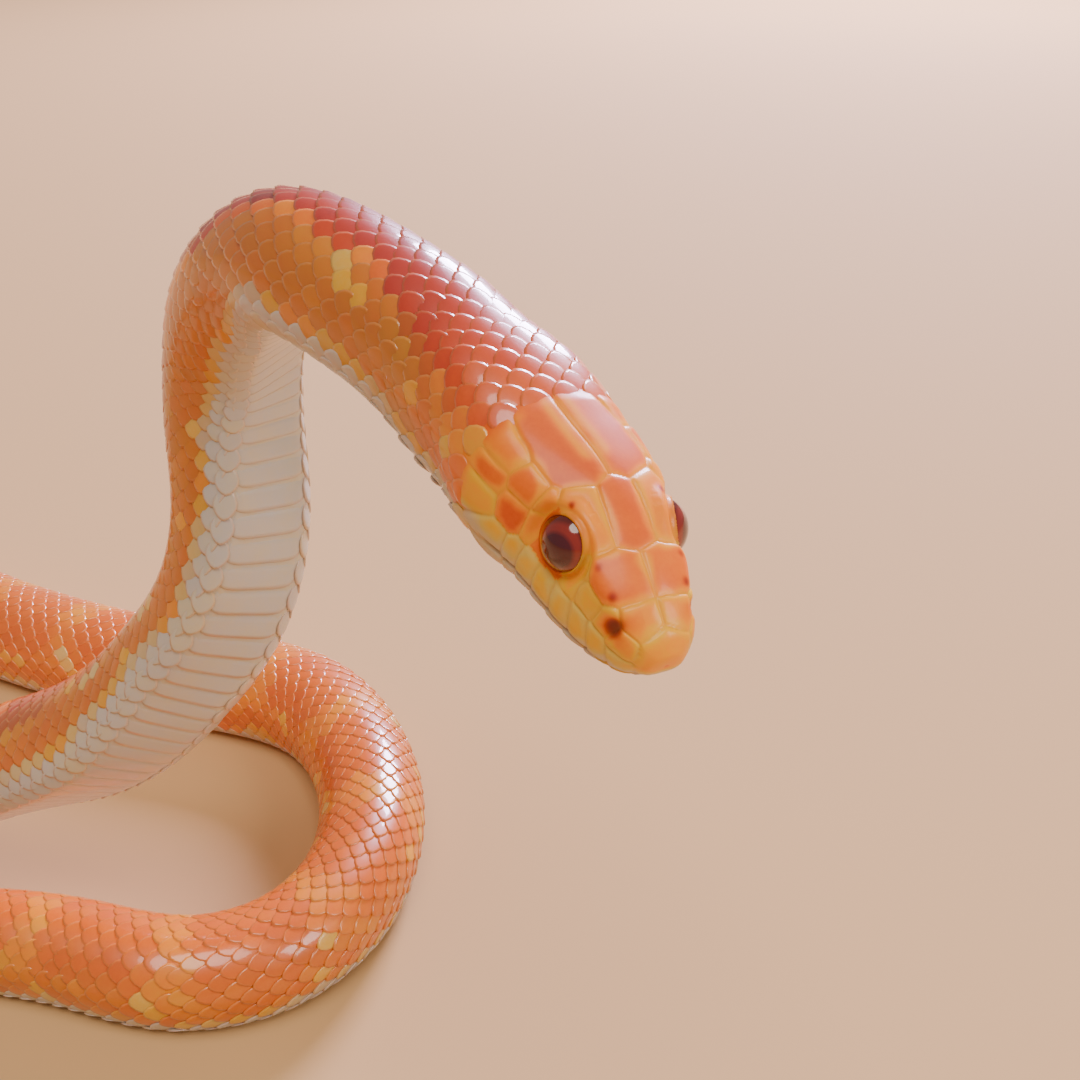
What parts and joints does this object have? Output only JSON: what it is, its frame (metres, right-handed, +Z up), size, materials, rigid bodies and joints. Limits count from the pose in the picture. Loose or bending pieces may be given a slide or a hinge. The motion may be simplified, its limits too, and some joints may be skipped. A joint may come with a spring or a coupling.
{
  "type": "corn snake",
  "caption": "Life-size corn snake lying in one open loop, its forebody raised in an arch with the head reaching forward and down",
  "frame": {"origin": "centre of the bounding box, on the floor under the belly", "axes": "+Z up; the head reaches towards +X and -Y, the loop of the body lies along X"},
  "size_m": [0.3127, 0.2051, 0.1341],
  "materials": {
    "head_shields": "glossy orange head shields with pale seams",
    "pale_belly": "satin cream belly plates, lips and throat",
    "back_scales": "glossy red-orange scales with blotches",
    "eye": "wet dark red"
  },
  "bodies": {
    "root": {"head": "head_shields", "lower_jaw": "pale_belly", "eye_left": "eye", "eye_right": "eye", "neck": "back_scales", "forebody_1": "back_scales", "forebody_2": "back_scales", "forebody_3": "back_scales", "forebody_4": "back_scales", "body_1": "back_scales", "body_2": "back_scales", "body_3": "back_scales", "body_4": "back_scales", "body_5": "back_scales", "body_6": "back_scales", "body_7": "back_scales", "body_8": "back_scales", "body_9": "back_scales", "body_10": "back_scales", "tail_1": "back_scales", "tail_2": "back_scales"}
  },
  "joints": []
}
